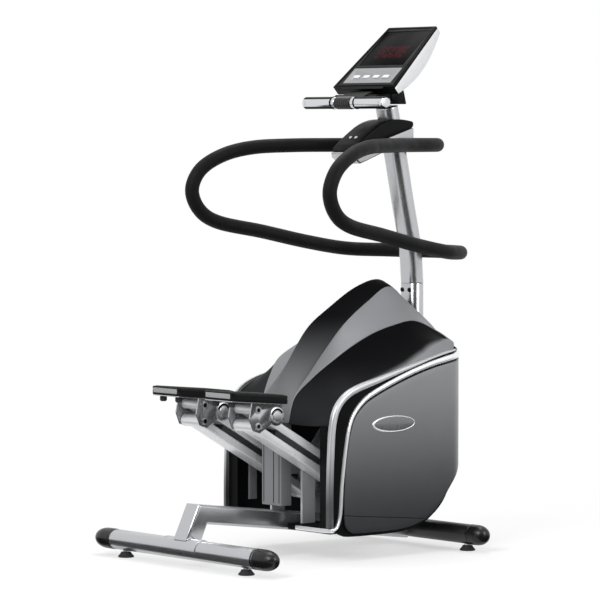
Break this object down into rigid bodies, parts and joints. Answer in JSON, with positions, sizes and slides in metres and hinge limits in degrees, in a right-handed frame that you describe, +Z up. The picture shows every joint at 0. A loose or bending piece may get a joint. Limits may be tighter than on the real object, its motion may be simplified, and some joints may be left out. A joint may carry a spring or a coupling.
{
  "type": "stair climber",
  "caption": "Gym stair climber with two independent pedals on parallel arms, a moulded shroud, a looped foam hand rail on a curved mast, and a tilted console.",
  "frame": {"origin": "on the floor, on the machine's plane of symmetry, at its mid length", "axes": "+X is the user's right, +Y is the way the user faces, towards the mast and console, +Z is up"},
  "size_m": [0.83, 1.0762, 1.5901],
  "materials": {
    "silver_paint": "satin metallic silver",
    "black_paint": "satin black",
    "end_cap_plastic": "satin dark grey",
    "foot_rubber": "matt",
    "steel": "plain turned or drawn steel",
    "grip_foam": "matt closed-cell foam",
    "black_plastic": "satin gloss",
    "display": "gloss",
    "keypad": "satin silver film",
    "chrome": "polished",
    "graphite_shell": "satin graphite paint",
    "pedal_rubber": "ribbed, matt",
    "pulley_plastic": "matt",
    "flywheel_iron": "turned",
    "belt_rubber": "matt"
  },
  "bodies": {
    "frame": {"main_beam": "silver_paint", "rear_saddle": "silver_paint", "rear_stabilizer": "silver_paint", "front_stabilizer": "black_paint", "lower_column": "silver_paint", "mast": "silver_paint", "rail_tube": "steel", "rail_cover_lid": "black_plastic", "rail_cover_base": "silver_paint", "console_back": "silver_paint", "console_face": "black_plastic", "display_window": "display", "keypad_plate": "keypad", "console_neck": "black_plastic", "pulse_bar": "steel", "bar_block": "black_plastic", "hood": "graphite_shell", "rear_column_cover": "graphite_shell", "pivot_shaft_upper": "steel", "pivot_shaft_lower": "steel", "drive_belt": "belt_rubber", "rear_end_cap_left": "end_cap_plastic", "front_end_cap_left": "end_cap_plastic", "foot_rear_left": "foot_rubber", "foot_front_left": "foot_rubber", "rail_foam_left": "grip_foam", "pulse_contact_left": "chrome", "side_cover_left": "graphite_shell", "side_panel_left": "graphite_shell", "frame_upright_left": "silver_paint", "return_spring_left": "steel", "rear_end_cap_right": "end_cap_plastic", "front_end_cap_right": "end_cap_plastic", "foot_rear_right": "foot_rubber", "foot_front_right": "foot_rubber", "rail_foam_right": "grip_foam", "pulse_contact_right": "chrome", "side_cover_right": "graphite_shell", "side_panel_right": "graphite_shell", "frame_upright_right": "silver_paint", "return_spring_right": "steel"},
    "upper_arm_left": {"upper_arm_left": "silver_paint"},
    "lower_arm_left": {"lower_arm_left": "silver_paint"},
    "pedal_left": {"pedal_bracket_left": "silver_paint", "pedal_left": "pedal_rubber"},
    "strap_drum_left": {"strap_drum_left": "steel"},
    "upper_arm_right": {"upper_arm_right": "silver_paint"},
    "lower_arm_right": {"lower_arm_right": "silver_paint"},
    "pedal_right": {"pedal_bracket_right": "silver_paint", "pedal_right": "pedal_rubber"},
    "strap_drum_right": {"strap_drum_right": "steel"},
    "drive_shaft": {"drive_shaft": "steel", "drive_pulley": "pulley_plastic"},
    "flywheel": {"flywheel": "flywheel_iron"},
    "key_1": {"key_1": "keypad"},
    "key_2": {"key_2": "keypad"},
    "key_3": {"key_3": "keypad"},
    "key_4": {"key_4": "keypad"}
  },
  "joints": [
    {"name": "step_left", "type": "hinge", "parent": "frame", "child": "upper_arm_left", "pos_m": [-0.1225, 0.05, 0.217], "axis": [1, 0, 0], "range_deg": [0, 28], "stiffness_Nm_per_rad": 40, "springref_deg": -51.57},
    {"name": "lower_arm_left_pivot", "type": "hinge", "parent": "frame", "child": "lower_arm_left", "pos_m": [-0.1225, 0.05, 0.169], "axis": [1, 0, 0], "range_deg": [0, 28]},
    {"name": "pedal_left_pivot", "type": "hinge", "parent": "upper_arm_left", "child": "pedal_left", "pos_m": [-0.1225, -0.38, 0.46], "axis": [1, 0, 0], "range_deg": [-28, 0]},
    {"name": "strap_drum_left_spin", "type": "hinge", "parent": "frame", "child": "strap_drum_left", "pos_m": [-0.091, 0.16, 0.4], "axis": [1, 0, 0], "range_deg": [0, 98]},
    {"name": "step_right", "type": "hinge", "parent": "frame", "child": "upper_arm_right", "pos_m": [0.1225, 0.05, 0.217], "axis": [1, 0, 0], "range_deg": [0, 28], "stiffness_Nm_per_rad": 40, "springref_deg": -51.57},
    {"name": "lower_arm_right_pivot", "type": "hinge", "parent": "frame", "child": "lower_arm_right", "pos_m": [0.1225, 0.05, 0.169], "axis": [1, 0, 0], "range_deg": [0, 28]},
    {"name": "pedal_right_pivot", "type": "hinge", "parent": "upper_arm_right", "child": "pedal_right", "pos_m": [0.1225, -0.38, 0.46], "axis": [1, 0, 0], "range_deg": [-28, 0]},
    {"name": "strap_drum_right_spin", "type": "hinge", "parent": "frame", "child": "strap_drum_right", "pos_m": [0.091, 0.16, 0.4], "axis": [1, 0, 0], "range_deg": [0, 98]},
    {"name": "drive_shaft_spin", "type": "hinge", "parent": "frame", "child": "drive_shaft", "pos_m": [0, 0.16, 0.4], "axis": [1, 0, 0], "continuous": true},
    {"name": "flywheel_spin", "type": "hinge", "parent": "frame", "child": "flywheel", "pos_m": [0, 0.2, 0.205], "axis": [1, 0, 0], "continuous": true},
    {"name": "key_1_press", "type": "slide", "parent": "frame", "child": "key_1", "axis": [0, 0.673, -0.7396], "range_m": [0, 0.0012], "stiffness_N_per_m": 400, "springref_m": -0.0005},
    {"name": "key_2_press", "type": "slide", "parent": "frame", "child": "key_2", "axis": [0, 0.673, -0.7396], "range_m": [0, 0.0012], "stiffness_N_per_m": 400, "springref_m": -0.0005},
    {"name": "key_3_press", "type": "slide", "parent": "frame", "child": "key_3", "axis": [0, 0.673, -0.7396], "range_m": [0, 0.0012], "stiffness_N_per_m": 400, "springref_m": -0.0005},
    {"name": "key_4_press", "type": "slide", "parent": "frame", "child": "key_4", "axis": [0, 0.673, -0.7396], "range_m": [0, 0.0012], "stiffness_N_per_m": 400, "springref_m": -0.0005}
  ],
  "couplings": [
    {"joint": "lower_arm_left_pivot", "follows": "step_left", "ratio": 1},
    {"joint": "pedal_left_pivot", "follows": "step_left", "ratio": -1},
    {"joint": "strap_drum_left_spin", "follows": "step_left", "ratio": 3.5},
    {"joint": "lower_arm_right_pivot", "follows": "step_right", "ratio": 1},
    {"joint": "pedal_right_pivot", "follows": "step_right", "ratio": -1},
    {"joint": "strap_drum_right_spin", "follows": "step_right", "ratio": 3.5},
    {"joint": "flywheel_spin", "follows": "drive_shaft_spin", "ratio": 4.0909}
  ]
}
